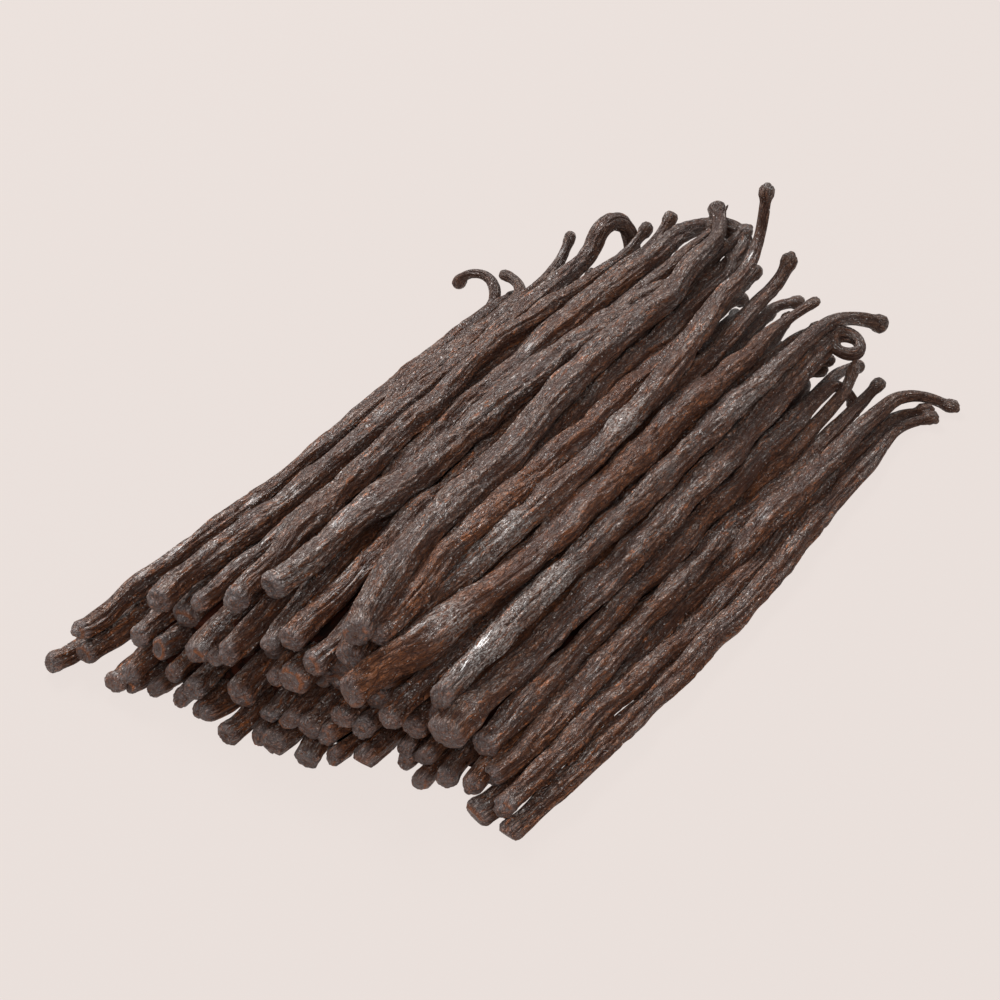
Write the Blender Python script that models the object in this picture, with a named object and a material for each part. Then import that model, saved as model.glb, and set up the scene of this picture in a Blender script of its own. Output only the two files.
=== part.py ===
# A loose bundle of cured vanilla pods, lying on a flat surface, as one solid out to its uneven outline.
# The pods run along Y, with their blunt flower ends at -Y and their hooked stem ends at +Y.
# Metres, +Z up. The origin is on the resting plane, under the middle of the bundle.
import math

import bpy
import numpy as np

MM = 0.001
SEED = 11
NODE = "vanilla_bundle"

# The heap's cross section: its crown lies at CROWN_X, and the outer pods' middles fall away from CROWN_Z to
# both sides, with a full shoulder on the left and a long even slope on the right
CROWN_X = 8 * MM
CROWN_Z = 27.5 * MM
LEFT_REACH = 62 * MM
RIGHT_REACH = 46 * MM

# Where the flower ends lie along Y: on the left, how much further back on the right, and how much of that is
# taken back at the right edge, with the x between which each of these changes, in millimetres
BUTT_LEFT = -79.5
BUTT_RIGHT, BUTT_RIGHT_X = 6.5, (4, 18)
BUTT_EDGE, BUTT_EDGE_X = -4, (36, 42)
BUTT_LEAN = 0.3                 # how far back a flower end lies for each millimetre that it is higher

# Hidden pods, in staggered rows
POD_RADIUS = 3 * MM
POD_PITCH = 6.1 * MM
ROW_PITCH = 5.2 * MM
UNDER_CROWN = 4.6 * MM          # how far an inner pod's middle stays under the outer layer's middle
STEM_Y = 88 * MM                # where the stem hooks begin, on average
END_SPREAD = (3, 8)             # how far butts and stems stray from their line, in millimetres

# How the pods settle against each other
SLICE_PITCH = 4 * MM
PRESSED = 0.95                  # how close two soft pods lie, as a share of their radii
SETTLING_STEPS = 120
SECTIONS = (-92 * MM, 104 * MM)  # where along Y the first and last cross section lie

# A pod's ends
BUTT_DISC = 2 * MM              # length of the blunt flower end
BUTT_SHARE = 0.85               # its radius, as a share of the pod's
STEM_RADIUS = 1.5 * MM
KNOB_RADIUS = 1.9 * MM          # the knob on the stem's tip
HOOK_STEP = 2.4 * MM

# The solid
TUBE_SIDES = 10
CORE_ENDS = (-64 * MM, 82 * MM)
CORE_SIDES = (-48 * MM, 45 * MM)
CORE_BELOW = 2 * MM             # how far it reaches below the floor before the flat is cut
CORE_DEPTH = 1.6 * MM           # how far the filled middle stays under the outer pods' middles
FACE_SIZE = 0.95 * MM           # grain of the skin that is drawn round the pods
SKIN_SMOOTHING = 2
FACE_SHARE = 0.045              # share of that skin's faces that stay
FLAT_CUT = 0.35 * MM            # how much is pared off below, as the flat that it rests on

# Pods on the outside, from the left edge to the right one, in millimetres and degrees: x at the butt, the
# middle and the stem, y at the butt and where the hook begins, and the radius. lift raises the butt, middle
# and stem off the heap's own line. A hook is a run of bends, each with a length, how far it turns, and
# towards where: 0 is +X, 90 is up, 180 is -X and 270 is down.
OUTER_PODS = (
    dict(x=(-54, -53, -50.5), y=(-82, 75), r=2.8, hook=((16, 75, 180), (8, 80, 200))),
    dict(x=(-50, -48, -48), y=(-77, 76), r=2.9, hook=((15, 70, 150),)),
    dict(x=(-46, -44, -43), y=(-79, 78), r=2.9, hook=((12, 40, 200),)),
    dict(x=(-40, -38, -38), y=(-80, 82), r=2.9, hook=((14, 30, 120),)),
    dict(x=(-35, -31, -32), y=(-74, 88), r=3.1, hook=((11, 42, 95), (26, 185, 285))),
    dict(x=(-27, -25, -21), y=(-82, 92), r=2.9, hook=((15, 45, 100),)),
    dict(x=(-21, -25, -23), y=(-70, 86), r=2.7, hook=((16, 38, 80),)),
    dict(x=(-17, -17, -14), y=(-69, 102), r=3.1, hook=((10, 60, 290),)),
    dict(x=(-14, -12, -8), y=(-62, 95), r=2.8, hook=((16, 25, 40),)),
    dict(x=(-10, -8, -1), y=(-66, 95), r=3.5, lift=(2, 1, 0), hook=((18, 20, 40),)),
    dict(x=(12, 2, -6), y=(-70, 96), r=3.3, lift=(1, 2, 3), hook=((18, 30, 150),)),
    dict(x=(3, -3, -3), y=(-80, 88), r=2.9, lift=(-8, -4, -4), hook=((16, 40, 60),)),
    dict(x=(5, 3, 2), y=(-80, 90), r=3.0, lift=(-5, -3, -3), hook=((14, 30, 90),)),
    dict(x=(5, 5, 3), y=(-72, 96), r=2.9, lift=(-3, -3, 0), hook=((24, 175, 170),)),
    dict(x=(12, 9, 7), y=(-81, 88), r=3.1, lift=(-6, -3, -3), hook=((10, 20, 90),)),
    dict(x=(14, 12, 9), y=(-76, 88), r=3.1, lift=(-3, 0, -2), hook=((10, 20, 90),)),
    dict(x=(18, 17, 11), y=(-76, 90), r=3.2, lift=(0, 1, 2), hook=((16, 62, 95), (7, 4, 95))),
    dict(x=(14, 18, 19), y=(-72, 92), r=2.9, lift=(-5, -5, 0), hook=((15, 38, 80),)),
    dict(x=(19, 22, 24), y=(-84, 82), r=3.6, lift=(-1, 1, 0), hook=((15, 35, 40),)),
    dict(x=(26, 26, 26), y=(-79, 86), r=2.8, lift=(-2, -3, 0), hook=((14, 55, 10),)),
    dict(x=(30, 28, 31), y=(-73, 92), r=3.2, hook=((18, 40, 330),)),
    dict(x=(34, 33, 33), y=(-74, 93), r=3.0, hook=((34, 330, 350),)),
    dict(x=(38, 37, 37), y=(-72, 76), r=2.9, hook=((12, 85, 300),)),
    dict(x=(43, 42, 43), y=(-73, 86), r=2.9, hook=((11, 25, 60),)),
    dict(x=(46, 46, 49), y=(-76, 93), r=3.1, hook=((18, 70, 350),)),
    dict(x=(47.5, 49.5, 51), y=(-74, 92), r=2.8, hook=((14, 60, 10),)),
    dict(x=(50.5, 52, 51.5), y=(-76.5, 87), r=2.8, hook=((14, 85, 0),)),
)


def crown(x):
    """Height of the outer pods' middles at x."""
    left = np.clip((CROWN_X - x) / LEFT_REACH, 0, 1)
    right = np.clip((x - CROWN_X) / RIGHT_REACH, 0, 1)
    return CROWN_Z * (1 - left**2) ** 0.6 * (0.5 + 0.5 * np.cos(math.pi * right)) ** 0.8


def butt_line(x, z):
    """Where the flower ends lie, in y."""
    right = np.interp(x / MM, BUTT_RIGHT_X, (0, BUTT_RIGHT))
    edge = np.interp(x / MM, BUTT_EDGE_X, (0, BUTT_EDGE))
    return (BUTT_LEFT + right + edge) * MM + BUTT_LEAN * z


def inner_pods(rng):
    """The hidden pods: staggered rows under the outer layer, each pod shifted and turned a little."""
    pods = []
    rows = int(CROWN_Z / ROW_PITCH)
    for row in range(rows):
        z = POD_RADIUS + row * ROW_PITCH
        for place in range(-10, 11):
            x = (place + 0.5 * (row % 2)) * POD_PITCH
            if crown(x) - z < UNDER_CROWN:
                continue
            x_ends = x / MM + rng.uniform(-1.2, 1.2, 3)
            y_ends = (
                butt_line(x, z) / MM + rng.uniform(-1, 1) * END_SPREAD[0],
                STEM_Y / MM + rng.uniform(-1, 1) * END_SPREAD[1],
            )
            bend = (rng.uniform(10, 16), rng.uniform(15, 70), rng.uniform(0, 360))
            pods.append(dict(x=tuple(x_ends), y=y_ends, z=z, r=rng.uniform(2.7, 3.2), hook=(bend,)))
    return pods


def through(values, share):
    """A smooth line through three values, at the start, the middle and the end."""
    a, b, c = values
    return a * (2 * share - 1) * (share - 1) + b * 4 * share * (1 - share) + c * share * (2 * share - 1)


def plan(pod, ys, phase):
    """Where the pod would lie on its own: its place from above, with a slight sway, and its height."""
    butt, stem = pod["y"]
    share = (ys / MM - butt) / (stem - butt)
    turns = 2 * math.pi * share
    sway = 0.5 * np.sin(1.7 * turns + phase) + 0.25 * np.sin(4.1 * turns + 2 * phase)
    x = (through(pod["x"], share) + sway) * MM
    lift = through(pod.get("lift", (0, 0, 0)), share) * MM
    z = pod["z"] if "z" in pod else crown(x) + lift
    return x, z + 0.4 * MM * np.cos(2.3 * turns + phase)


def girth(pod, ys):
    """The radius along the straight part: a neck behind the butt, a full middle and a slow taper."""
    butt, stem = pod["y"]
    from_butt = ys / MM - butt
    share = from_butt / (stem - butt)
    neck = 1 - 0.22 * np.exp(-(((from_butt - 5) / 7) ** 2))
    taper = 1 - 0.42 * np.clip((share - 0.65) / 0.35, 0, 1) ** 1.6
    return pod["r"] * MM * neck * taper


def smoothed(rows):
    """Each row of values, evened out along its length."""
    padded = np.pad(rows, ((0, 0), (1, 1)), mode="edge")
    return 0.25 * padded[:, :-2] + 0.5 * rows + 0.25 * padded[:, 2:]


def settle(pods, ys, phases):
    """Starts each pod where it is planned and pushes touching pods apart, in cross sections along Y."""
    planned = [plan(pod, ys, phase) for pod, phase in zip(pods, phases)]
    plan_x, plan_z = np.array([p[0] for p in planned]), np.array([p[1] for p in planned])
    ends = [(pod["y"][0] * MM, pod["y"][1] * MM) for pod in pods]
    radius = np.array([girth(pod, np.clip(ys, *end)) for pod, end in zip(pods, ends)])
    there = np.array([(ys > end[0] - 2 * MM) & (ys < end[1] + 6 * MM) for end in ends])
    pairs = there[:, None] & there[None] & ~np.eye(len(pods), dtype=bool)[:, :, None]
    reach = (radius[:, None] + radius[None]) * PRESSED
    x, z = plan_x.copy(), np.maximum(plan_z, radius)
    for _ in range(SETTLING_STEPS):
        dx, dz = x[:, None] - x[None], z[:, None] - z[None]
        apart = np.sqrt(dx**2 + dz**2) + 1e-9
        overlap = np.where(pairs, np.clip(reach - apart, 0, None), 0)
        x += 0.3 * (overlap * dx / apart).sum(axis=1) + 0.05 * (plan_x - x)
        z += 0.3 * (overlap * dz / apart).sum(axis=1) + 0.03 * (plan_z - z)
        x, z = smoothed(x), np.maximum(smoothed(z), radius)
    return x, z, radius


def hook_points(start, along, bends, step):
    """Follows the stem's hook from its first point, turning steadily towards each bend's side."""
    points, position = [], start.copy()
    for length, turn, towards in bends:
        side = np.array([math.cos(math.radians(towards)), 0, math.sin(math.radians(towards))])
        axis = np.cross(along, side - along * along.dot(side))
        axis /= np.linalg.norm(axis)
        steps = max(2, round(length * MM / step))
        angle = math.radians(turn) / steps
        for _ in range(steps):
            along = along * math.cos(angle) + np.cross(axis, along) * math.sin(angle)
            position = position + along * (length * MM / steps)
            points.append(position.copy())
    return points


def pod_line(pod, ys, x, z, radius):
    """The pod's centre line from butt to tip, with a radius at each point."""
    butt, stem = pod["y"][0] * MM, pod["y"][1] * MM
    stations = np.concatenate(([butt, butt + BUTT_DISC], np.linspace(butt + 3 * BUTT_DISC, stem, 17)))
    line = [np.array([np.interp(s, ys, x), s, np.interp(s, ys, z)]) for s in stations]
    girths = [np.interp(s, ys, radius) for s in stations]
    girths[0] = girths[1] = BUTT_SHARE * pod["r"] * MM
    along = line[-1] - line[-2]
    hook = hook_points(line[-1], along / np.linalg.norm(along), pod["hook"], HOOK_STEP)
    end = girths[-1]
    for place, point in enumerate(hook):
        share = (place + 1) / len(hook)
        girths.append(end + (STEM_RADIUS - end) * min(1, share * 2.2))
        line.append(np.array([point[0], point[1], max(point[2], girths[-1])]))
    girths[-1] = KNOB_RADIUS
    return line, girths


def add_tube(verts, faces, line, girths, sides):
    """A closed tube round a line, with its rings square to it."""
    first = len(verts)
    for place, (point, girth_here) in enumerate(zip(line, girths)):
        before, after = line[max(place - 1, 0)], line[min(place + 1, len(line) - 1)]
        along = (after - before) / np.linalg.norm(after - before)
        across = np.array([1.0, 0, 0]) if place == 0 else across - along * along.dot(across)
        across = across / np.linalg.norm(across)
        up = np.cross(across, along)
        for side in range(sides):
            turn = 2 * math.pi * side / sides
            verts.append(point + girth_here * (across * math.cos(turn) + up * math.sin(turn)))
    for ring in range(len(line) - 1):
        for side in range(sides):
            a = first + ring * sides + side
            b = first + ring * sides + (side + 1) % sides
            faces.append((a, a + sides, b + sides, b))
    faces.append(tuple(first + side for side in range(sides)))
    last = first + (len(line) - 1) * sides
    faces.append(tuple(last + side for side in reversed(range(sides))))


def add_core(verts, faces):
    """The filled middle under the outer layer, a beam along Y with the heap's own cross section."""
    columns = np.linspace(*CORE_SIDES, 25)
    tops = [(x, crown(x) - CORE_DEPTH) for x in columns]
    outline = tops + [(CORE_SIDES[1], -CORE_BELOW), (CORE_SIDES[0], -CORE_BELOW)]
    first, count = len(verts), len(outline)
    for y in CORE_ENDS:
        verts.extend(np.array([x, y, z]) for x, z in outline)
    for corner in range(count):
        following = (corner + 1) % count
        faces.append((first + corner, first + count + corner, first + count + following, first + following))
    faces.append(tuple(first + corner for corner in range(count)))
    faces.append(tuple(first + count + corner for corner in reversed(range(count))))


def new_object(name, verts, faces):
    mesh = bpy.data.meshes.new(name)
    mesh.from_pydata([tuple(v) for v in verts], [], faces)
    mesh.update()
    made = bpy.data.objects.new(name, mesh)
    bpy.context.scene.collection.objects.link(made)
    return made


def pod_material():
    material = bpy.data.materials.new("cured_pod_skin")
    material.use_nodes = True
    shader = material.node_tree.nodes["Principled BSDF"]
    shader.inputs["Base Color"].default_value = (0.055, 0.030, 0.022, 1)
    shader.inputs["Roughness"].default_value = 0.5
    shader.inputs["Metallic"].default_value = 0.0
    return material


def floor_cutter():
    """A slab that pares the underside flat."""
    half, depth = 150 * MM, 20 * MM
    square = ((-half, -half), (half, -half), (half, half), (-half, half))
    corners = [(x, y, z) for z in (-depth, FLAT_CUT) for x, y in square]
    sides = [(0, 3, 2, 1), (4, 5, 6, 7), (0, 1, 5, 4), (1, 2, 6, 5), (2, 3, 7, 6), (3, 0, 4, 7)]
    cutter = new_object("floor_cutter", corners, sides)
    cutter.hide_render = True
    cutter.display_type = "WIRE"
    return cutter


def main():
    for old in list(bpy.data.objects):
        bpy.data.objects.remove(old)
    rng = np.random.default_rng(SEED)
    pods = inner_pods(rng) + list(OUTER_PODS)
    phases = rng.uniform(0, 2 * math.pi, len(pods))
    ys = np.arange(*SECTIONS, SLICE_PITCH)
    x, z, radius = settle(pods, ys, phases)
    verts, faces = [], []
    add_core(verts, faces)
    for number, pod in enumerate(pods):
        line, girths = pod_line(pod, ys, x[number], z[number], radius[number])
        add_tube(verts, faces, line, girths, TUBE_SIDES)
    bundle = new_object(NODE, verts, faces)
    bundle.data.materials.append(pod_material())
    skin = bundle.modifiers.new("skin", "REMESH")
    skin.mode = "VOXEL"
    skin.voxel_size = FACE_SIZE
    even = bundle.modifiers.new("even", "SMOOTH")
    even.iterations = SKIN_SMOOTHING
    thin = bundle.modifiers.new("thin", "DECIMATE")
    thin.ratio = FACE_SHARE
    flat = bundle.modifiers.new("flat", "BOOLEAN")
    flat.operation = "DIFFERENCE"
    flat.object = floor_cutter()
    bundle.location.z = -FLAT_CUT
    flat.object.location.z = -FLAT_CUT


main()
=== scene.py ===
import math

import bmesh
import bpy
import numpy as np
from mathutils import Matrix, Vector


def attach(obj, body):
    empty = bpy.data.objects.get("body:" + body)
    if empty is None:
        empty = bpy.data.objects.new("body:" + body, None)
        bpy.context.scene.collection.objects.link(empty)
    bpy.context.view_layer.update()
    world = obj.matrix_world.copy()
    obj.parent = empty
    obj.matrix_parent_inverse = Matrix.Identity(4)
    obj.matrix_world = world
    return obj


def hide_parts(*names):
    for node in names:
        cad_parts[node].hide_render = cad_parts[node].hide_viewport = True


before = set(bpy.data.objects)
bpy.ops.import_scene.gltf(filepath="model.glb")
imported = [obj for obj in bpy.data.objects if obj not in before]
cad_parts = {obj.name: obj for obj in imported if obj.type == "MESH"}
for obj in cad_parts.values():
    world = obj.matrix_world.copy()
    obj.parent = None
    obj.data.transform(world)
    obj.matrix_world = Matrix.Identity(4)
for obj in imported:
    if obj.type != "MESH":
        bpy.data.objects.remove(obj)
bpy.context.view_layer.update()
mm = 0.001

# The heap as it settles, in millimetres. The pods run along Y, blunt flower ends at -Y, hooked stems at +Y.
heap = {
    "seed": 11,
    "crownX": 8.0,
    "crownZ": 27.5,
    "leftReach": 62.0,
    "rightReach": 46.0,
    "podPitch": 6.3,
    "rowPitch": 5.4,
    "innerRows": 2,
    "innerZ": 12.5,
    "innerButtY": -66,
    "underCrown": 7.5,
    "stemY": 88.0,
    "endSpread": 8,
    "sections": (-92, 104, 4),
    "pressed": 0.95,
    "settlingSteps": 120,
}

# The pods on the outside, left to right.
# run: (y, x) from the butt to where the hook begins. lift: off the heap's line, at the same places.
# hook: bends of (length, turn, towards), 0 is +X, 90 is up. stem, head: how thick the stem and its knob are.
# rim: how thick the blunt end is. flat: how much the pod is pressed flat. smooth: how deep its folds are.
# grey: how dusty its skin is. oil: how much it shines. frost: pale patches of (y, reach, amount).
# rust: how rusty the blunt end's rim is. taperFrom: where along it the pod starts to narrow.
outerPods = (
    dict(run=((-83, -55), (-4, -53), (75, -50.5)), r=2.7, grey=0.5, oil=0.3,
         hook=((6, 35, 130), (10, 85, 185), (7, 65, 235))),
    dict(run=((-78.5, -50.5), (0, -48), (74, -48)), lift=(-4, -1, 0), r=3.1, grey=0.4, oil=0.4,
         hook=((10, 20, 300),)),
    dict(run=((-77, -52), (0, -45), (76, -43)), lift=(3, 0, -1.5), r=2.8, grey=0.6, oil=0.5,
         hook=((13, 90, 178),)),
    dict(run=((-76, -37.5), (0, -38), (82, -38)), lift=(-5, -2, 0), r=3.1, grey=0.7, oil=0.4,
         hook=((15, 30, 110),)),
    dict(run=((-73.5, -35.5), (7, -31), (88, -32)), lift=(2, 1, 0), r=3.0, grey=0.7, oil=0.4, stem=1.65,
         hook=((9, 40, 95), (24, 185, 285))),
    dict(run=((-72.5, -24.5), (5, -25), (92, -18)), lift=(1, 0, 0), r=2.6, grey=0.5, oil=0.5,
         hook=((15, 45, 90),)),
    dict(run=((-71.5, -17), (8, -24), (86, -23)), lift=(2, 1, 0), r=3.0, grey=0.6, oil=0.3,
         hook=((16, 38, 80),)),
    dict(run=((-77, -15), (16, -18), (99, -12)), lift=(-8, -1, 2), r=3.4, grey=0.5, oil=0.5, stem=1.7,
         head=0.9,
         hook=((15, 30, 320),)),
    dict(run=((-73.5, -7), (16, -12), (100, -6.5)), lift=(-6, -2, 1), r=2.8, grey=0.5, oil=0.3,
         stem=0.8, head=0.4,
         hook=((13, 40, 85),)),
    dict(run=((-66, -10), (14, -8), (92, -1)), lift=(3, 1, 0), r=3.7, grey=1.0, oil=0.3,
         hook=((18, 20, 40),),
         frost=((-60, 7, 0.6),)),
    dict(run=((-70, 12), (-50, 9.5), (-28, 6), (13, 4), (60, 2), (97, -3)), lift=(1, 1.5, 2, 2, 2, 2),
         r=3.8,
         grey=0.9, oil=0.2, stem=1.4, head=1.15, hook=((14, 50, 150),)),
    dict(run=((-72.5, -2.5), (4, -3), (88, -3)), lift=(-4, -4, -4), r=3.0, grey=0.2, oil=0.5,
         hook=((16, 40, 60),)),
    dict(run=((-73.5, 4), (5, 3), (92, 3)), lift=(-7.5, -4, -2), r=3.0, grey=0.6, oil=0.5, stem=1.9,
         hook=((12, 15, 90), (13, 150, 165))),
    dict(run=((-70.5, 9), (12, 6), (90, 4)), lift=(-5, -3, -2), r=3.5, grey=0.4, oil=0.6,
         hook=((10, 30, 170),),
         flat=0.26),
    dict(run=((-74, 9.5), (4, 9), (86, 8)), lift=(-17, -8, -5), r=2.7, grey=0.4, oil=0.6,
         hook=((10, 20, 90),)),
    dict(run=((-66, 13), (6, 12.5), (88, 9)), lift=(-1, 0.5, -2), r=3.0, grey=0.1, oil=0.9,
         hook=((10, 20, 90),)),
    dict(run=((-62, 14.5), (7, 17), (90, 9.5)), lift=(-2.5, 0.5, 2), r=3.1, grey=0.5, oil=0.8,
         hook=((16, 62, 95), (7, 4, 95)), frost=((-28, 12, 0.8), (20, 8, 1.0))),
    dict(run=((-62, 12), (10, 16), (92, 16.5)), lift=(-8, -5, 0), r=2.9, grey=0.3, oil=0.3, stem=1.2,
         hook=((11, 48, 88),)),
    dict(run=((-78, 14), (-45, 18.5), (-1, 21.5), (82, 23)), lift=(-5.0, 0, 1, 0), r=4.1, grey=0.05,
         oil=0.3,
         hook=((15, 35, 40),), frost=((-52, 5, 0.9),)),
    dict(run=((-75, 20.5), (4, 25), (84, 26)), lift=(-7, -3, -1), r=2.8, grey=0.4, oil=0.3,
         hook=((10, 40, 20),)),
    dict(run=((-68, 29), (10, 27), (92, 30.5)), lift=(1.5, 0.5, 3.5), r=3.3, grey=0.8, oil=1.0, stem=1.25,
         hook=((20, 50, 322),), frost=((-52, 10, 1.3), (-27, 9, 1.2), (60, 14, 0.6))),
    dict(run=((-71.5, 31), (10, 32.5), (94, 32)), lift=(-0.5, 0, 3), r=3.4, rim=1.22, grey=0.7, oil=0.3,
         stem=1.2,
         hook=((20, 340, 345),)),
    dict(run=((-67, 38), (2, 37), (83, 36.5)), lift=(1, 0, 0), r=3.2, grey=0.5, oil=0.4,
         hook=((13, 110, 300),)),
    dict(run=((-73, 40), (5, 39.5), (84, 39.5)), lift=(0, -4, 0), r=2.6, grey=0.0, oil=1.0, smooth=0.35,
         rust=1,
         hook=((9, 60, 92),)),
    dict(run=((-70, 42.5), (7, 42.5), (86, 43)), r=2.9, grey=0.5, oil=0.3, hook=((11, 25, 60),)),
    dict(run=((-76, 43.5), (8, 46), (92, 48)), lift=(-2, 0, 3.5), r=3.1, grey=0.5, oil=0.3,
         hook=((19, 80, 334),)),
    dict(run=((-75, 46.5), (9, 49), (90, 50)), lift=(3, 0, 0), r=2.8, grey=0.4, oil=0.3,
         hook=((12, 60, 350),)),
    dict(run=((-76.5, 50.5), (5, 52), (86, 51)), r=2.8, grey=0.5, oil=0.2, hook=((15, 75, 315),)),
)

# Pods under them whose blunt ends show at the front: x, y and z of that end, and the pod's radius
frontEnds = (
    (-33, -76, 12, 2.8), (-37, -80, 6, 2.9), (-40.5, -81.5, 2.9, 2.9), (-29, -77, 8, 2.4),
    (-32, -78.5, 3, 2.7),
    (-36, -80, 1.8, 1.8), (-23.5, -75.5, 13.5, 2.9), (-20, -75.5, 13.5, 2.3), (-13.5, -76.5, 10, 3.6),
    (-0.5, -75, 14.5, 3.3), (-5, -75, 15, 2.3), (-18.5, -79.5, 2.5, 2.1), (-22, -78.5, 2.5, 2.1),
    (-24, -78, 5, 2.8), (-27.5, -78.5, 2.6, 2.5), (-12, -82, 2.5, 2.5), (-8, -79, 2.6, 2.6),
    (-5.5, -77, 8, 2.3),
    (-0.5, -77.5, 7, 2.9), (4.5, -77, 8, 2.8), (-2.5, -80.5, 2.9, 2.9), (3.5, -80, 2.8, 2.8),
    (8, -76, 5, 2.8),
    (13, -73, 8.5, 2.7), (10.5, -76.5, 2.9, 2.9), (14, -74, 3, 3.0), (25, -70, 10.5, 2.9),
    (22, -71, 7, 2.3),
    (26.5, -71, 7, 3.0), (24, -71.5, 4.5, 2.4), (28.5, -73.5, 2.7, 2.7), (30.5, -71.5, 4, 2.7),
)


def crownHeight(x):
    left = np.clip((heap["crownX"] - x) / heap["leftReach"], 0, 1)
    right = np.clip((x - heap["crownX"]) / heap["rightReach"], 0, 1)
    return heap["crownZ"] * (1 - left**2) ** 0.6 * (0.5 + 0.5 * np.cos(math.pi * right)) ** 0.8


def randomHook(rng):
    return ((rng.uniform(10, 16), rng.uniform(15, 70), rng.uniform(0, 360)),)


def frontPods(rng):
    pods = []
    for x, y, z, r in frontEnds:
        r *= 1.07
        stem = heap["stemY"] + rng.uniform(-1, 1) * heap["endSpread"]
        xs = (x, x * 0.97 + rng.uniform(-1, 1.5), x * 0.94 + rng.uniform(0, 4))
        run = tuple(zip((y, (y + stem) / 2, stem), xs))
        pods.append(dict(run=run, z=z, r=r, hook=randomHook(rng), rust=rng.choice((0, 0, 0.4, 1))))
    return pods


def innerPods(rng):
    pods = []
    for row in range(heap["innerRows"]):
        z = heap["innerZ"] + row * heap["rowPitch"]
        for place in range(-6, 7):
            x = (place + 0.5 * (row % 2)) * heap["podPitch"]
            if crownHeight(x) - z < heap["underCrown"]:
                continue
            xs = x + rng.uniform(-1.2, 1.2, 3)
            butt = heap["innerButtY"] + rng.uniform(-2, 2)
            stem = heap["stemY"] + rng.uniform(-1, 1) * heap["endSpread"]
            run = ((butt, xs[0]), ((butt + stem) / 2, xs[1]), (stem, xs[2]))
            pods.append(dict(run=run, z=z, r=rng.uniform(2.7, 3.2), hook=randomHook(rng)))
    return pods


def smoothThrough(places, values, at):
    # a smooth line through the values, with the slope at each taken from its neighbours
    places, values = np.array(places, float), np.array(values, float)
    slopes = np.gradient(values, places)
    at = np.asarray(at, float)
    i = np.clip(np.searchsorted(places, at) - 1, 0, len(places) - 2)
    width = places[i + 1] - places[i]
    t = (at - places[i]) / width
    inside = (
        values[i] * (1 + 2 * t) * (1 - t) ** 2
        + slopes[i] * width * t * (1 - t) ** 2
        + values[i + 1] * t * t * (3 - 2 * t)
        + slopes[i + 1] * width * t * t * (t - 1)
    )
    before = values[0] + slopes[0] * (at - places[0])
    after = values[-1] + slopes[-1] * (at - places[-1])
    return np.where(at < places[0], before, np.where(at > places[-1], after, inside))


def podEnds(pod):
    return pod["run"][0][0], pod["run"][-1][0]


def podGirth(pod, ys):
    butt, stem = podEnds(pod)
    fromButt = ys - butt
    share = fromButt / (stem - butt)
    neck = 1 - 0.22 * np.exp(-(((fromButt - 5) / 7) ** 2))
    taper = 1 - 0.42 * np.clip((share - 0.65) / 0.35, 0, 1) ** 1.6
    return pod["r"] * neck * taper


def evenedOut(rows):
    padded = np.pad(rows, ((0, 0), (1, 1)), mode="edge")
    return 0.25 * padded[:, :-2] + 0.5 * rows + 0.25 * padded[:, 2:]


def settlePods(pods, ys, phases):
    # starts each pod where it is planned and pushes touching pods apart, in cross sections along Y
    planX, planZ = [], []
    for pod, phase in zip(pods, phases):
        butt, stem = podEnds(pod)
        places = [y for y, x in pod["run"]]
        turns = 2 * math.pi * (ys - butt) / (stem - butt)
        sway = 0.5 * np.sin(1.7 * turns + phase) + 0.25 * np.sin(4.1 * turns + 2 * phase)
        x = smoothThrough(places, [x for y, x in pod["run"]], ys) + sway
        lift = smoothThrough(places, pod.get("lift", (0,) * len(places)), ys)
        z = pod["z"] if "z" in pod else crownHeight(x) + lift
        planX.append(x)
        planZ.append(z + 0.4 * np.cos(2.3 * turns + phase))
    planX, planZ = np.array(planX), np.array(planZ)
    ends = [podEnds(pod) for pod in pods]
    radius = np.array([podGirth(pod, np.clip(ys, *end)) for pod, end in zip(pods, ends)])
    there = np.array([(ys > end[0] - 2) & (ys < end[1] + 6) for end in ends])
    pairs = there[:, None] & there[None] & ~np.eye(len(pods), dtype=bool)[:, :, None]
    reach = (radius[:, None] + radius[None]) * heap["pressed"]
    x, z = planX.copy(), np.maximum(planZ, radius)
    for step in range(heap["settlingSteps"]):
        dx, dz = x[:, None] - x[None], z[:, None] - z[None]
        apart = np.sqrt(dx**2 + dz**2) + 1e-6
        overlap = np.where(pairs, np.clip(reach - apart, 0, None), 0)
        x += 0.3 * (overlap * dx / apart).sum(axis=1) + 0.05 * (planX - x)
        z += 0.3 * (overlap * dz / apart).sum(axis=1) + 0.03 * (planZ - z)
        x, z = evenedOut(x), np.maximum(evenedOut(z), radius)
    return x, z


# The shape of one pod, in millimetres; radii at the blunt end are shares of the pod's own
podShape = {
    "ringSteps": (2.4, 1.7, 1.2),
    "hookStep": 0.8,
    "rim": (0.86, 1.06),
    "neck": (-0.02, 0.10),
    "face": ((0.01, 1.0), (0.26, 1.0), (0.45, 0.85), (0.62, 0.45), (0.78, 0.10), (0.90, 0.0)),
    "faceDepth": (-1.3, 0.8),
    "buttBend": (2, 26),
    "buttSwing": 4.5,
    "buttPlaces": (0, 0.3, 0.75, 1.5, 2.4, 3.8, 6.5, 12, 19),
    "sway": 0.2,
    "swayWaves": ((23, 41), (19, 37)),
    "bulgeWaves": (13, 24, 47),
    "flat": (0.06, 0.2),
    "flatWaves": (31, 60),
    "turnWaves": (90, 140),
    "taperFrom": 0.62,
    "tipDepth": (-0.9, 0.2),
    "faceApart": 0.02,
    "sides": {"inner": 24, "front": 32, "outer": 60},
    "ownSeed": 1000,
    "seedStep": 3.7,
    "bulge": 0.08,
    "stemRadius": 1.4,
    "headLength": 2.4,
    "headSize": (1.1, 1.42),
}


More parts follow.
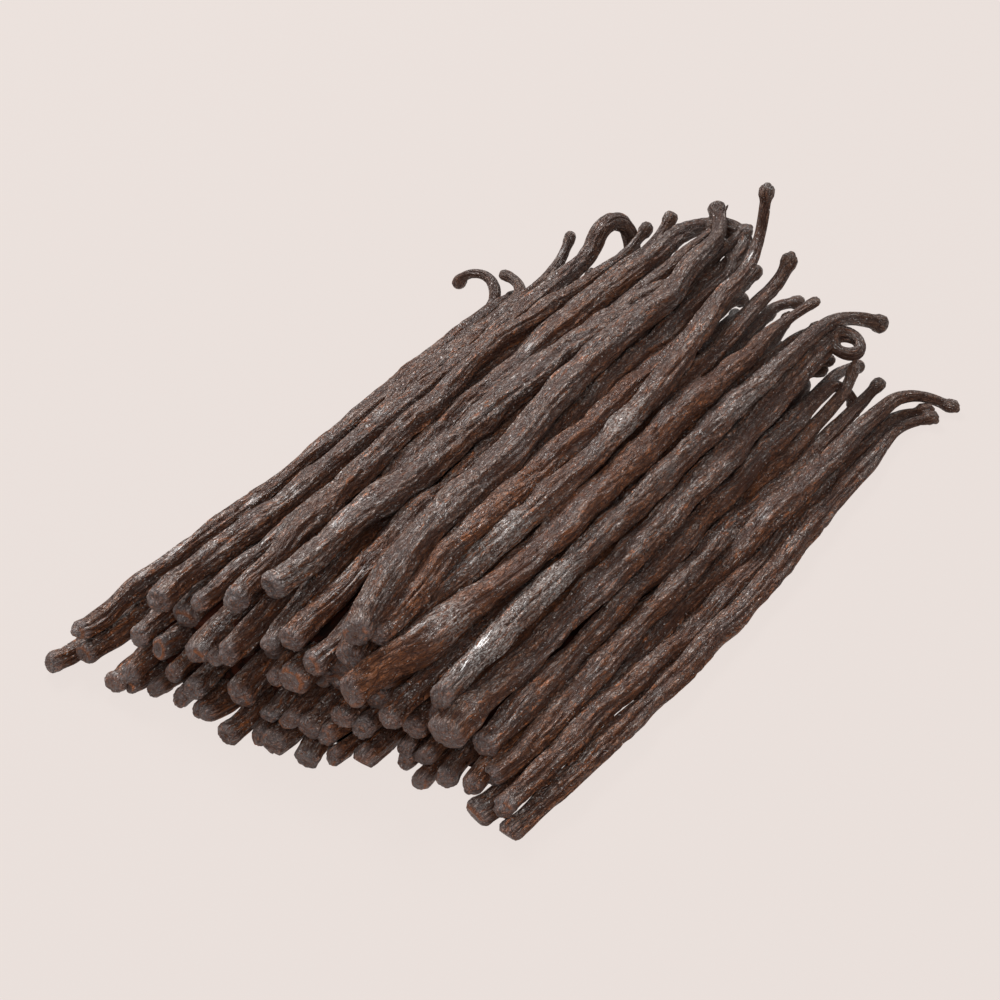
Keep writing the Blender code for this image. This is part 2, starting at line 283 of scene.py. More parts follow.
def bentAway(start, along, bends, step):
    # follows a run of bends from a point, and returns the points and the directions
    points, ways, position = [], [], start.copy()
    for length, turn, towards in bends:
        side = np.array([math.cos(math.radians(towards)), 0, math.sin(math.radians(towards))])
        axis = np.cross(along, side - along * along.dot(side))
        axis /= np.linalg.norm(axis)
        steps = max(2, round(length / step))
        angle = math.radians(turn) / steps
        for _ in range(steps):
            along = along * math.cos(angle) + np.cross(axis, along) * math.sin(angle)
            position = position + along * (length / steps)
            points.append(position.copy())
            ways.append(along.copy())
    return points, ways


def unevenness(rng, along, waves, size):
    # slow random waves along a pod, each of them with a length in millimetres
    total = np.zeros_like(along)
    for wave in waves:
        phase, stretch = rng.uniform(0, 2 * math.pi), rng.uniform(0.8, 1.25)
        total += np.sin(2 * math.pi * along / (wave * stretch) + phase)
    return size * total / math.sqrt(len(waves))


def podPoints(rng, pod, ys, x, z, ringStep):
    # the points along one pod's middle from butt to tip, with what its skin needs to know at each
    butt, stem = podEnds(pod)
    r = pod["r"]
    count = max(8, round((stem - butt - 6) / ringStep))
    stations = np.concatenate((np.linspace(butt, butt + 6, 9)[:-1], np.linspace(butt + 6, stem, count)))
    line = np.column_stack((smoothThrough(ys, x, stations), stations, smoothThrough(ys, z, stations)))
    line[:, 0] += unevenness(rng, stations, podShape["swayWaves"][0], podShape["sway"])
    line[:, 2] += unevenness(rng, stations, podShape["swayWaves"][1], podShape["sway"])
    way = line[-1] - line[-3]
    hook, _ = bentAway(line[-1], way / np.linalg.norm(way), pod["hook"], podShape["hookStep"])
    line = np.vstack((line, hook))
    steps = np.linalg.norm(np.diff(line, axis=0), axis=1)
    along = np.concatenate(([0], np.cumsum(steps)))
    whole = along[-1]
    # the blunt end turns aside a little
    bend = math.radians(rng.uniform(*podShape["buttBend"]))
    aside = rng.uniform(0, 2 * math.pi)
    near = podShape["buttSwing"] * np.clip(1 - along / 9, 0, 1) ** 2 * math.sin(bend)
    line[:, 0] += near * math.cos(aside)
    line[:, 2] += near * math.sin(aside) * 0.6
    # girth: the blunt end's rim and neck, an uneven middle, the taper and the stem with its head
    rim = pod.get("rim", rng.uniform(*podShape["rim"]))
    neck = rim - rng.uniform(*podShape["neck"])
    sizes = (rim * 0.74, rim * 0.88, rim * 0.97, rim, (rim + neck) / 2, neck, neck + 0.03, 0.95, 1)
    girth = r * np.interp(along, podShape["buttPlaces"], sizes)
    bulges = unevenness(rng, along, podShape["bulgeWaves"], podShape["bulge"])
    girth *= 1 + bulges * np.clip(along / 10, 0, 1)
    stemStart = whole * pod.get("taperFrom", podShape["taperFrom"])
    hookLength = sum(length for length, turn, towards in pod["hook"])
    slim = np.clip((along - stemStart) / (whole - 0.5 * hookLength - stemStart), 0, 1) ** 1.7
    girth = girth * (1 - slim) + podShape["stemRadius"] * pod.get("stem", 1.0) * slim
    toTip = whole - along
    head = np.clip((podShape["headLength"] + 1.2 - toTip) / 1.2, 0, 1)
    girth *= 1 + (pod.get("head", rng.uniform(*podShape["headSize"])) - 1) * head * head * (3 - 2 * head)
    girth *= np.sqrt(np.clip(1 - 0.5 * np.clip(1 - toTip / 1.1, 0, 1) ** 2, 0.3, 1))
    # pressed flat by its neighbours, differently along its length
    flat = pod.get("flat", rng.uniform(*podShape["flat"]))
    flat = flat * (1 + unevenness(rng, along, podShape["flatWaves"], 0.5))
    flat = np.clip(flat + 0.16 * rng.uniform(0, 1) * np.clip(1 - along / 8, 0, 1), 0.01, 0.36)
    angle = rng.uniform(0, math.pi) + unevenness(rng, along, podShape["turnWaves"], 0.6)
    press = np.sqrt(flat)[:, None] * np.column_stack((np.cos(angle), np.zeros_like(angle), np.sin(angle)))
    line[:, 2] = np.maximum(line[:, 2], girth * 0.97)
    ways = np.gradient(line, axis=0)
    ways /= np.linalg.norm(ways, axis=1)[:, None]
    # both ends are closed by rings that all but coincide, pushed in as a dish or out as a dome
    shares, depths = np.array(podShape["face"]).T
    apart = podShape["faceApart"] * np.arange(len(shares), 0, -1)
    buttDepth, tipDepth = rng.uniform(*podShape["faceDepth"]), rng.uniform(*podShape["tipDepth"])
    n = len(shares)
    points = np.vstack((line[0] - ways[0] * apart[:, None], line, line[-1] + ways[-1] * apart[::-1, None]))
    push = np.zeros_like(points)
    push[:n] = ways[0] * (buttDepth * depths)[:, None]
    push[-n:] = -ways[-1] * (tipDepth * depths[::-1])[:, None]
    skin = np.clip(along / 3, 0.7, 1) * np.clip(toTip / 4, 0.2, 1) * pod.get("smooth", 1)
    frost = np.zeros_like(along)
    for middle, reach, amount in pod.get("frost", ()):
        frost += amount * np.exp(-(((line[:, 1] - middle) / reach) ** 2))
    return {
        "points": points,
        "girth": np.concatenate((girth[0] * shares, girth, girth[-1] * shares[::-1])),
        "along": np.concatenate((-apart, along, whole + apart[::-1])),
        "skin": np.concatenate((skin[0] * shares, skin, np.zeros(n))),
        "frost": np.concatenate((np.zeros(n), frost, np.zeros(n))),
        "push": push,
        "press": np.vstack((np.repeat(press[:1], n, 0), press, np.repeat(press[-1:], n, 0))),
        "butt": np.concatenate((0.5 * shares, 0.5 + 0.5 * np.clip(along / 3, 0, 1), np.ones(n))),
        "slim": np.concatenate((np.zeros(n), slim, np.ones(n))),
    }


def addNode(tree, kind, inputs=None, **settings):
    # a node with its settings, and with a value or a link on each named or numbered input
    node = tree.nodes.new(kind)
    for name, value in settings.items():
        setattr(node, name, value)
    for socket, value in (inputs or {}).items():
        if isinstance(value, bpy.types.NodeSocket):
            tree.links.new(value, node.inputs[socket])
        else:
            node.inputs[socket].default_value = value
    return node


def maths(tree, operation, *terms, clamp=False):
    node = addNode(tree, "ShaderNodeMath", dict(enumerate(terms)), operation=operation, use_clamp=clamp)
    return node.outputs[0]


def vectors(tree, operation, *terms):
    node = addNode(tree, "ShaderNodeVectorMath", dict(enumerate(terms)), operation=operation)
    return node.outputs["Value" if operation == "DOT_PRODUCT" else "Vector"]


def scaledVector(tree, vector, scale):
    node = addNode(tree, "ShaderNodeVectorMath", {0: vector, "Scale": scale}, operation="SCALE")
    return node.outputs["Vector"]


def ramp(tree, value, low, high, toLow=0.0, toHigh=1.0, smooth=True):
    node = addNode(
        tree,
        "ShaderNodeMapRange",
        {"Value": value, "From Min": low, "From Max": high, "To Min": toLow, "To Max": toHigh},
        interpolation_type="SMOOTHSTEP" if smooth else "LINEAR",
        clamp=True,
    )
    return node.outputs["Result"]


def noise(tree, vector, scale, detail=2.0, roughness=0.5, w=None):
    inputs = {"Vector": vector, "Scale": scale, "Detail": detail, "Roughness": roughness}
    if w is not None:
        inputs["W"] = w
    node = addNode(tree, "ShaderNodeTexNoise", inputs, noise_dimensions="3D" if w is None else "4D")
    return node.outputs[0]


def crease(tree, value, width):
    # 1 where a noise crosses its middle, fading to 0 at this width
    fromMiddle = maths(tree, "ABSOLUTE", maths(tree, "SUBTRACT", value, 0.5))
    return ramp(tree, fromMiddle, 0.0, width, 1.0, 0.0)


def namedValue(tree, name, kind="FLOAT"):
    return addNode(tree, "GeometryNodeInputNamedAttribute", {"Name": name}, data_type=kind).outputs[0]


def storeValue(tree, geometry, name, value, kind="FLOAT"):
    node = addNode(
        tree,
        "GeometryNodeStoreNamedAttribute",
        {"Geometry": geometry, "Name": name, "Value": value},
        data_type=kind,
        domain="POINT",
    )
    return node.outputs[0]


# How the skin of a pod is drawn: depths in metres, the others are how many folds there are
podSkin = {
    "Sides": 60,
    "Groove Depth": 0.46 * mm,
    "Fold Depth": 0.36 * mm,
    "Swelling": 0.28 * mm,
    "Groove Count": 1.35,
    "Fold Count": 4.8,
}

# The noises behind it: how many per metre along the pod, how wide a crease is, which pods count as thin
relief = {
    "grooves": 22.0,
    "grooveWidth": 0.11,
    "folds": 105.0,
    "foldWidth": 0.075,
    "foldShift": 13.7,
    "swells": 60.0,
    "swellCount": 0.8,
    "swellShift": 31.1,
    "thin": 1.2,
    "thick": 3.0,
    "onThin": 0.35,
}


def podSkinTree(material):
    # the skin round the pods' lines: a ring at each point, pressed flat, grooved and folded
    tree = bpy.data.node_groups.new("podSkin", "GeometryNodeTree")
    tree.interface.new_socket("Geometry", in_out="INPUT", socket_type="NodeSocketGeometry")
    tree.interface.new_socket("Geometry", in_out="OUTPUT", socket_type="NodeSocketGeometry")
    for name, value in podSkin.items():
        kind = "NodeSocketInt" if name == "Sides" else "NodeSocketFloat"
        tree.interface.new_socket(name, in_out="INPUT", socket_type=kind).default_value = value
    given = tree.nodes.new("NodeGroupInput").outputs
    curves = addNode(tree, "GeometryNodeMeshToCurve", {"Mesh": given["Geometry"]}).outputs[0]
    ringCurve = addNode(
        tree, "GeometryNodeCurvePrimitiveCircle", {"Resolution": given["Sides"], "Radius": 1.0}
    )
    here = tree.nodes.new("GeometryNodeInputPosition").outputs[0]
    ringCurve = storeValue(tree, ringCurve.outputs[0], "ring", here, "FLOAT_VECTOR")
    skin = addNode(
        tree,
        "GeometryNodeCurveToMesh",
        {"Curve": curves, "Profile Curve": ringCurve, "Scale": namedValue(tree, "girth"), "Fill Caps": True},
    ).outputs[0]

    ring = namedValue(tree, "ring", "FLOAT_VECTOR")
    along = namedValue(tree, "along")
    seed = namedValue(tree, "seed")
    centre = namedValue(tree, "centre", "FLOAT_VECTOR")
    press = namedValue(tree, "press", "FLOAT_VECTOR")
    outwards = vectors(tree, "SUBTRACT", here, centre)
    flattened = scaledVector(tree, press, vectors(tree, "DOT_PRODUCT", press, outwards))
    pressed = vectors(tree, "SUBTRACT", outwards, flattened)
    direction = vectors(tree, "NORMALIZE", outwards)

    def podNoise(count, perMetre, detail, shift):
        flatRing = vectors(tree, "MULTIPLY", ring, (1, 1, 0))
        farAlong = maths(tree, "MULTIPLY", along, perMetre)
        length = addNode(tree, "ShaderNodeCombineXYZ", {"Z": farAlong}).outputs[0]
        place = vectors(tree, "ADD", scaledVector(tree, flatRing, count), length)
        return noise(tree, place, 1.0, detail, w=maths(tree, "ADD", seed, shift))

    twist = podNoise(given["Groove Count"], relief["grooves"], 1.0, 0.0)
    groove = crease(tree, twist, relief["grooveWidth"])
    fold = podNoise(given["Fold Count"], relief["folds"], 2.0, relief["foldShift"])
    furrow = crease(tree, fold, relief["foldWidth"])
    swell = podNoise(relief["swellCount"], relief["swells"], 2.0, relief["swellShift"])
    swell = maths(tree, "SUBTRACT", swell, 0.5)
    # thin stems carry finer relief
    thin, thick = relief["thin"], relief["thick"]
    thickness = ramp(tree, namedValue(tree, "girth"), thin * mm, thick * mm, relief["onThin"], 1.0)
    height = maths(tree, "MULTIPLY", swell, maths(tree, "MULTIPLY", given["Swelling"], 3.0))
    height = maths(tree, "SUBTRACT", height, maths(tree, "MULTIPLY", groove, given["Groove Depth"]))
    height = maths(tree, "SUBTRACT", height, maths(tree, "MULTIPLY", furrow, given["Fold Depth"]))
    ridge = maths(tree, "MULTIPLY", maths(tree, "SUBTRACT", fold, 0.5), given["Fold Depth"])
    height = maths(tree, "ADD", height, ridge)
    height = maths(tree, "MULTIPLY", height, maths(tree, "MULTIPLY", thickness, namedValue(tree, "skin")))
    hollow = maths(tree, "MAXIMUM", groove, maths(tree, "MULTIPLY", furrow, 0.75))
    skin = storeValue(tree, skin, "hollow", maths(tree, "MULTIPLY", hollow, namedValue(tree, "skin")))
    girthRing = scaledVector(tree, ring, namedValue(tree, "girth"))
    length = addNode(
        tree, "ShaderNodeCombineXYZ", {"Z": maths(tree, "ADD", along, maths(tree, "MULTIPLY", seed, 0.31))}
    ).outputs[0]
    skin = storeValue(tree, skin, "podPlace", vectors(tree, "ADD", girthRing, length), "FLOAT_VECTOR")
    raised = vectors(tree, "ADD", pressed, scaledVector(tree, direction, height))
    placed = vectors(tree, "ADD", centre, raised)
    placed = vectors(tree, "ADD", placed, namedValue(tree, "push", "FLOAT_VECTOR"))
    skin = addNode(tree, "GeometryNodeSetPosition", {"Geometry": skin, "Position": placed}).outputs[0]
    for name in ("centre", "press", "push", "ring", "skin", "along", "girth"):
        skin = addNode(tree, "GeometryNodeRemoveAttribute", {"Geometry": skin, "Name": name}).outputs[0]
    skin = addNode(tree, "GeometryNodeSetShadeSmooth", {"Geometry": skin}).outputs[0]
    skin = addNode(tree, "GeometryNodeRealizeInstances", {"Geometry": skin}).outputs[0]
    skin = addNode(tree, "GeometryNodeSetMaterial", {"Geometry": skin, "Material": material}).outputs[0]
    tree.links.new(skin, tree.nodes.new("NodeGroupOutput").inputs["Geometry"])
    return tree


def linkedObject(name, mesh):
    made = bpy.data.objects.new(name, mesh)
    bpy.context.scene.collection.objects.link(made)
    return made


def podPiece(name, lines, tree, inputs):
    # one piece: plain lines with values at their points, which the tree turns into pods
    points, edges, start = [], [], 0
    for line in lines:
        count = len(line["points"])
        points.append(line["points"])
        edges += [(start + i, start + i + 1) for i in range(count - 1)]
        start += count
    points = np.vstack(points) * mm
    mesh = bpy.data.meshes.new(name)
    mesh.from_pydata(points.tolist(), edges, [])

    def put(key, kind, values):
        field = "vector" if kind == "FLOAT_VECTOR" else "value"
        values = values.ravel().astype(np.float32)
        mesh.attributes.new(key, kind, "POINT").data.foreach_set(field, values)

    for key in ("girth", "along", "skin", "butt", "slim", "seed", "grey", "oil", "rust", "frost"):
        values = [np.full(len(line["points"]), line[key], float) for line in lines]
        put(key, "FLOAT", np.concatenate(values) * (mm if key in ("girth", "along") else 1))
    put("push", "FLOAT_VECTOR", np.vstack([line["push"] for line in lines]) * mm)
    put("press", "FLOAT_VECTOR", np.vstack([line["press"] for line in lines]))
    put("centre", "FLOAT_VECTOR", points)
    source = linkedObject(name + "Lines", mesh)
    modifier = source.modifiers.new("podSkin", "NODES")
    modifier.node_group = tree
    for item in tree.interface.items_tree:
        if item.in_out == "INPUT" and item.name in inputs:
            modifier[item.identifier] = inputs[item.name]
    graph = bpy.context.evaluated_depsgraph_get()
    made = bpy.data.meshes.new_from_object(source.evaluated_get(graph), depsgraph=graph)
    bpy.data.objects.remove(source)
    made.name = name
    piece = linkedObject(name, made)
    print(name, len(lines), "pods,", sum(len(face.vertices) - 2 for face in made.polygons), "triangles")
    return piece


# Skin colours, as linear light, and how the skin shines
podLooks = {
    "redBrown": (0.242, 0.080, 0.024),
    "greyBrown": (0.190, 0.104, 0.069),
    # pale flecks, partly dust and partly painted sheen
    "dustAndSheen": (0.430, 0.365, 0.335),
    "glint": (0.700, 0.660, 0.640),
    # painted shade for the folds and grooves
    "hollowShade": (0.044, 0.0095, 0.0038),
    "rust": (0.420, 0.125, 0.030),
    "buttGrey": (0.285, 0.255, 0.258),
    "buttDark": (0.055, 0.036, 0.031),
    # painted shade in the gaps between the pods
    "gapShade": (0.010, 0.0042, 0.0028),
    "stemGrey": (0.095, 0.070, 0.056),
    "folds": 1500.0,
    "bumpHeight": 0.0017,
    # towards the key light: sides facing it are painted greyer, partly dust, partly painted sheen
    "dustAndSheenFrom": (-0.38, 0.28, 0.88),
}


def foldsGroup():
    # fine folds along the pod, as on cured leather, with loose patches, streaks, flecks and specks
    warpScale, warpReach, furrowWidth = 420.0, 0.0014, 0.06
    group = bpy.data.node_groups.new("leatherFolds", "ShaderNodeTree")
    group.interface.new_socket("Place", in_out="INPUT", socket_type="NodeSocketVector")
    group.interface.new_socket("Fineness", in_out="INPUT", socket_type="NodeSocketFloat")
    for name in ("Height", "Furrow", "Patch", "Streak", "Fleck", "Speck"):
        group.interface.new_socket(name, in_out="OUTPUT", socket_type="NodeSocketFloat")
    given = group.nodes.new("NodeGroupInput").outputs
    put = group.nodes.new("NodeGroupOutput").inputs
    warpInputs = {"Vector": given["Place"], "Scale": warpScale, "Detail": 2.0}
    warp = addNode(group, "ShaderNodeTexNoise", warpInputs).outputs["Color"]
    warp = scaledVector(group, vectors(group, "SUBTRACT", warp, (0.5, 0.5, 0.5)), warpReach)
    place = vectors(group, "ADD", given["Place"], warp)
    long = scaledVector(group, vectors(group, "MULTIPLY", place, (1, 1, 0.22)), given["Fineness"])
    broad = noise(group, long, 0.6, 2.0, 0.5)
    fine = noise(group, long, 1.7, 3.0, 0.6)
    broadFurrow = crease(group, broad, furrowWidth)
    fineFurrow = crease(group, fine, furrowWidth)
    furrow = maths(group, "MAXIMUM", broadFurrow, maths(group, "MULTIPLY", fineFurrow, 0.75))
    patch = noise(group, vectors(group, "MULTIPLY", place, (1, 1, 0.35)), 210.0, 3.0, 0.6)
    streak = noise(group, vectors(group, "MULTIPLY", place, (1, 1, 0.12)), 1400.0, 2.0, 0.55)
    fleck = noise(group, vectors(group, "MULTIPLY", place, (1, 1, 0.24)), 2500.0, 2.0, 0.65)
    speck = noise(group, vectors(group, "MULTIPLY", place, (1, 1, 0.7)), 2600.0, 1.0, 0.5)
    height = maths(group, "ADD", broad, maths(group, "MULTIPLY", fine, 0.60))
    height = maths(group, "ADD", height, maths(group, "MULTIPLY", fleck, 0.30))
    height = maths(group, "SUBTRACT", height, maths(group, "MULTIPLY", broadFurrow, 0.30))
    height = maths(group, "SUBTRACT", height, maths(group, "MULTIPLY", fineFurrow, 0.26))
    values = (height, furrow, patch, streak, fleck, speck)
    for socket, value in zip(put, values):
        group.links.new(value, socket)
    return group


def mixColour(tree, share, first, second):
    node = tree.nodes.new("ShaderNodeMix")
    node.data_type = "RGBA"
    for socket, value in ((node.inputs["Factor"], share), (node.inputs[6], first), (node.inputs[7], second)):
        if isinstance(value, bpy.types.NodeSocket):
            tree.links.new(value, socket)
        else:
            socket.default_value = (*value, 1.0) if isinstance(value, tuple) else value
    return node.outputs[2]


def attribute(tree, name, output="Fac"):
    return addNode(tree, "ShaderNodeAttribute", attribute_name=name).outputs[output]


def podMaterial():
    material = bpy.data.materials.new("curedPodSkin")
    material.use_nodes = True
    tree = material.node_tree
    shader = tree.nodes["Principled BSDF"]
    looks = podLooks

    def times(*terms):
        total = terms[0]
        for term in terms[1:]:
            total = maths(tree, "MULTIPLY", total, term)
        return total

    place = attribute(tree, "podPlace", "Vector")
    folds = addNode(tree, "ShaderNodeGroup", node_tree=foldsGroup())
    tree.links.new(place, folds.inputs["Place"])
    folds.inputs["Fineness"].default_value = looks["folds"]
    height, furrow, patch, streak, fleck, speck = (folds.outputs[i] for i in range(6))
    hollow, grey, oil = attribute(tree, "hollow"), attribute(tree, "grey"), attribute(tree, "oil")
    butt, slim = attribute(tree, "butt"), attribute(tree, "slim")
    frost, rustRim = attribute(tree, "frost"), attribute(tree, "rust")
    normal = tree.nodes.new("ShaderNodeNewGeometry").outputs["Normal"]
    # painted light: skin facing the key light turns greyer, partly dust on top, partly painted sheen
    dustAndSheenSide = ramp(tree, vectors(tree, "DOT_PRODUCT", normal, looks["dustAndSheenFrom"]), -0.2, 0.95, -0.38, 0.48)

    # redder skin, greyer on grey pods and loose patches, and on the sides facing the key light, partly dust
    # and partly painted sheen
    loose = times(maths(tree, "SUBTRACT", patch, 0.53), 3.2)
    greyShare = maths(tree, "ADD", maths(tree, "ADD", grey, loose), dustAndSheenSide, clamp=True)
    colour = mixColour(tree, greyShare, looks["redBrown"], looks["greyBrown"])
    # pale flecks, partly dust and partly painted sheen, thicker where the skin is greyer and on the side
    # facing the key light
    dustAndSheenFlecks = times(ramp(tree, fleck, 0.49, 0.60), maths(tree, "ADD", times(greyShare, 0.85), 0.12))
    colour = mixColour(tree, dustAndSheenFlecks, colour, looks["dustAndSheen"])
    rust = times(ramp(tree, streak, 0.55, 0.63), ramp(tree, patch, 0.36, 0.54), 0.85)
    colour = mixColour(tree, rust, colour, looks["rust"])
    colour = mixColour(tree, times(slim, 0.6), colour, looks["stemGrey"])
    # painted shade deep in the folds and grooves
    creaseShade = maths(tree, "MAXIMUM", times(hollow, 0.75), times(furrow, 0.92))
    colour = mixColour(tree, creaseShade, colour, looks["hollowShade"])
    # pale frost and single glints
    frosted = times(frost, ramp(tree, fleck, 0.42, 0.60), 0.75)
    colour = mixColour(tree, maths(tree, "MINIMUM", frosted, 0.85), colour, looks["dustAndSheen"])
    sparse = maths(tree, "ADD", ramp(tree, patch, 0.40, 0.68, 0.0, 0.065), times(frost, 0.07))
    glint = ramp(tree, maths(tree, "ADD", speck, sparse), 0.71, 0.75)
    colour = mixColour(tree, times(glint, 0.8), colour, looks["glint"])
    # the blunt end: a grey face with a dark middle, and rust on some rims
    face = times(ramp(tree, butt, 0.50, 0.90, 0.9, 0.0), ramp(tree, fleck, 0.36, 0.60, 1.0, 0.30))
    face = times(face, ramp(tree, streak, 0.40, 0.62, 1.0, 0.55))
    middle = ramp(tree, maths(tree, "ADD", butt, times(patch, 0.60)), 0.26, 0.52, 0.95, 0.05)
    faceColour = mixColour(tree, middle, looks["buttGrey"], looks["buttDark"])
    colour = mixColour(tree, face, colour, faceColour)
    edge = times(ramp(tree, butt, 0.36, 0.46), ramp(tree, butt, 0.50, 0.62, 1.0, 0.0))
    colour = mixColour(tree, times(edge, rustRim, ramp(tree, patch, 0.48, 0.56), 0.8), colour, looks["rust"])
    tree.links.new(colour, shader.inputs["Base Color"])

    shine = times(oil, ramp(tree, patch, 0.46, 0.62))
    roughness = maths(tree, "SUBTRACT", ramp(tree, fleck, 0.35, 0.65, 0.58, 0.40), times(shine, 0.20))
    tree.links.new(roughness, shader.inputs["Roughness"])
    tree.links.new(times(shine, 0.4), shader.inputs["Coat Weight"])
    shader.inputs["Coat Roughness"].default_value = 0.2
    shader.inputs["Specular IOR Level"].default_value = 0.4
    bump = addNode(tree, "ShaderNodeBump", {"Height": height, "Distance": looks["bumpHeight"]})
    bump.inputs["Strength"].default_value = 1.0
    tree.links.new(bump.outputs["Normal"], shader.inputs["Normal"])
    return material


# What fills the heap's middle, a dark block painted as the shade between the pods, in millimetres inside the
# line of the outer pods
core = {"under": 7.0, "from": -71, "to": 67, "step": 6, "points": 24, "side": 15, "foot": 0.4, "lean": 0.30,
        "setBack": 9.0}


def gapMaterial():
    # painted shade between the pods: near-black brown, slightly uneven
    material = bpy.data.materials.new("heapGapShade")
    material.use_nodes = True
    tree = material.node_tree
    shader = tree.nodes["Principled BSDF"]
    place = tree.nodes.new("ShaderNodeTexCoord").outputs["Object"]
    uneven = noise(tree, vectors(tree, "MULTIPLY", place, (1, 0.2, 1)), 600.0, 3.0, 0.6)
    tree.links.new(
        mixColour(tree, ramp(tree, uneven, 0.4, 0.6), podLooks["gapShade"], podLooks["hollowShade"]),
        shader.inputs["Base Color"],
    )
    tree.links.new(ramp(tree, uneven, 0.3, 0.7, 0.95, 0.75), shader.inputs["Roughness"])
    bump = addNode(tree, "ShaderNodeBump", {"Height": uneven, "Distance": 0.001})
    tree.links.new(bump.outputs["Normal"], shader.inputs["Normal"])
    shader.inputs["Specular IOR Level"].default_value = 0.1
    return material


def corePiece(material):
    ys = np.arange(core["from"], core["to"] + 1, core["step"], dtype=float)
    left = heap["crownX"] - heap["leftReach"] + core["side"]
    right = heap["crownX"] + heap["rightReach"] - core["side"]
    xs = np.linspace(left, right, core["points"])
    tops = np.maximum(crownHeight(xs) - core["under"], 2 * core["foot"])
    vertices, faces, ring = [], [], 2 * core["points"]
    fronts = core["from"] + np.interp(xs, (4, 18), (0, core["setBack"]))
    for y in ys:
        share = (core["to"] - y) / (core["to"] - core["from"])
        shift = (fronts - core["from"]) * share
        vertices += [(x, y + dy + core["lean"] * z * share, z) for x, dy, z in zip(xs, shift, tops)]
        vertices += [(x, y + dy, core["foot"]) for x, dy in zip(xs[::-1], shift[::-1])]
    for section in range(len(ys) - 1):
        for i in range(ring):
            a, b = section * ring + i, section * ring + (i + 1) % ring
            faces.append((a, b, b + ring, a + ring))
    faces.append(tuple(range(ring))[::-1])
    faces.append(tuple(range((len(ys) - 1) * ring, len(ys) * ring)))
    mesh = bpy.data.meshes.new("pods_core")
    mesh.from_pydata((np.array(vertices) * mm).tolist(), [], faces)
    mesh.materials.append(material)
    bm = bmesh.new()
    bm.from_mesh(mesh)
    bmesh.ops.recalc_face_normals(bm, faces=bm.faces)
    bm.to_mesh(mesh)
    bm.free()
    return linkedObject("pods_core", mesh)


def buildBundle(material):
    rng = np.random.default_rng(heap["seed"])
    inner, front = innerPods(rng), frontPods(rng)
    pods = inner + front + list(outerPods)
    phases = rng.uniform(0, 2 * math.pi, len(pods))
    ys = np.arange(*heap["sections"])
    x, z = settlePods(pods, ys, phases)
    print("settled", len(pods), "pods")
    lines = []
    for number, pod in enumerate(pods):
        own = np.random.default_rng(podShape["ownSeed"] + number)
        steps = podShape["ringSteps"]
        step = steps[(number >= len(inner)) + (number >= len(inner) + len(front))]
        line = podPoints(own, pod, ys, x[number], z[number], step)
        line["seed"] = podShape["seedStep"] * number
        line["grey"] = pod.get("grey", own.uniform(0.2, 0.7))
        line["oil"] = pod.get("oil", own.uniform(0.2, 0.6))
        line["rust"] = pod.get("rust", own.choice((0, 0.3, 0.8)))
        lines.append(line)
    tree = podSkinTree(material)
    outer = lines[len(inner) + len(front) :]
    share = math.ceil(len(outer) / 4)
    half = len(inner) + len(front) // 2
    sides = podShape["sides"]
    groups = [
        ("pods_left", outer[:share], sides["outer"]),
        ("pods_crown", outer[share : 2 * share], sides["outer"]),
        ("pods_shoulder", outer[2 * share : 3 * share], sides["outer"]),
        ("pods_right", outer[3 * share :], sides["outer"]),
        ("pods_inner", lines[: len(inner)], sides["inner"]),
        ("pods_low", lines[len(inner) : half], sides["front"]),
        ("pods_middle", lines[half : len(inner) + len(front)], sides["front"]),
    ]
    pieces = [podPiece(name, group, tree, {"Sides": count}) for name, group, count in groups]
    pieces.append(corePiece(gapMaterial()))
    for piece in pieces:
        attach(piece, "root")
        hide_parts("vanilla_bundle")
    return pieces


# Camera, floor and light. Angles in degrees, lengths in metres. lamps: name, place, size and power in watts.
studio = {
    "azimuth": 32.0,
    "elevation": 35.0,
    "target": (0.0, 0.0, 0.015),
    "distance": 0.572,
    "lens": 96.98,
    "floorColour": (0.815, 0.740, 0.705),
    "floorSkin": (0.60, 0.55, 0.52),
    "floorGlow": 0.97,
    "floorReach": 3.0,
    "worldColour": (1.0, 0.985, 0.97),
    "worldStrength": 0.62,
    "lampTarget": (0, 0, 0.01),
    "lamps": (
        ("keyLight", (-0.56, 0.38, 0.70), 0.30, 13.2),
        ("fillLight", (0.30, -0.60, 0.55), 0.4, 2.9),
    ),
}


def aimed(made, place, target):
    made.location = place
    made.rotation_mode = "QUATERNION"
    made.rotation_quaternion = (Vector(target) - Vector(place)).to_track_quat("-Z", "Y")


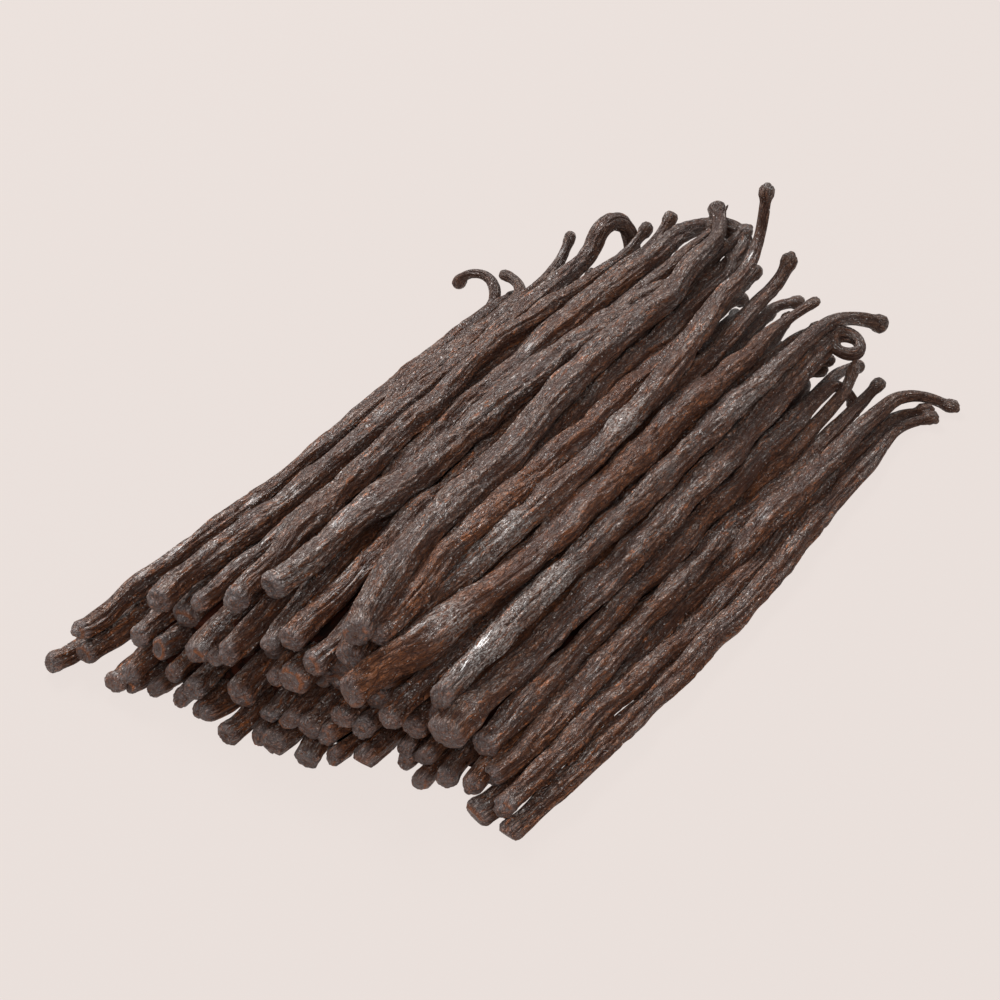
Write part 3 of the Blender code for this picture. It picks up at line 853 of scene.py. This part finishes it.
def addCamera():
    azimuth, elevation = math.radians(studio["azimuth"]), math.radians(studio["elevation"])
    level = math.cos(elevation)
    back = Vector((math.sin(azimuth) * level, -math.cos(azimuth) * level, math.sin(elevation)))
    camera = linkedObject("camera", bpy.data.cameras.new("camera"))
    target = Vector(studio["target"])
    aimed(camera, target + back * studio["distance"], target)
    camera.data.sensor_width = 36
    camera.data.lens = studio["lens"]
    camera.data.clip_start = 0.01
    bpy.context.scene.camera = camera


def addFloor():
    half = studio["floorReach"]
    mesh = bpy.data.meshes.new("floor")
    corners = [(-half, -half, 0), (half, -half, 0), (half, half, 0), (-half, half, 0)]
    mesh.from_pydata(corners, [], [(0, 1, 2, 3)])
    floor = linkedObject("floor", mesh)
    material = bpy.data.materials.new("paleFloor")
    material.use_nodes = True
    tree = material.node_tree
    shader = tree.nodes["Principled BSDF"]
    colour = (*studio["floorColour"], 1)
    shader.inputs["Base Color"].default_value = (*studio["floorSkin"], 1)
    shader.inputs["Roughness"].default_value = 0.9
    shader.inputs["Specular IOR Level"].default_value = 0.1
    glow = addNode(tree, "ShaderNodeEmission", {"Color": colour, "Strength": 1.0})
    path = tree.nodes.new("ShaderNodeLightPath").outputs
    seen = maths(tree, "MAXIMUM", path["Is Camera Ray"], path["Is Glossy Ray"])
    share = maths(tree, "MULTIPLY", seen, studio["floorGlow"])
    mix = addNode(tree, "ShaderNodeMixShader", {0: share, 1: shader.outputs[0], 2: glow.outputs[0]})
    tree.links.new(mix.outputs[0], tree.nodes["Material Output"].inputs["Surface"])
    mesh.materials.append(material)


def addLights():
    world = bpy.data.worlds.new("studio")
    world.use_nodes = True
    background = world.node_tree.nodes["Background"]
    background.inputs["Color"].default_value = (*studio["worldColour"], 1)
    background.inputs["Strength"].default_value = studio["worldStrength"]
    bpy.context.scene.world = world
    for name, place, size, power in studio["lamps"]:
        lamp = linkedObject(name, bpy.data.lights.new(name, "AREA"))
        aimed(lamp, place, studio["lampTarget"])
        lamp.data.size = size
        lamp.data.energy = power


scene = bpy.context.scene
scene.view_settings.view_transform = "Standard"
addCamera()
addFloor()
addLights()
print("studio is set")
podPieces = buildBundle(podMaterial())
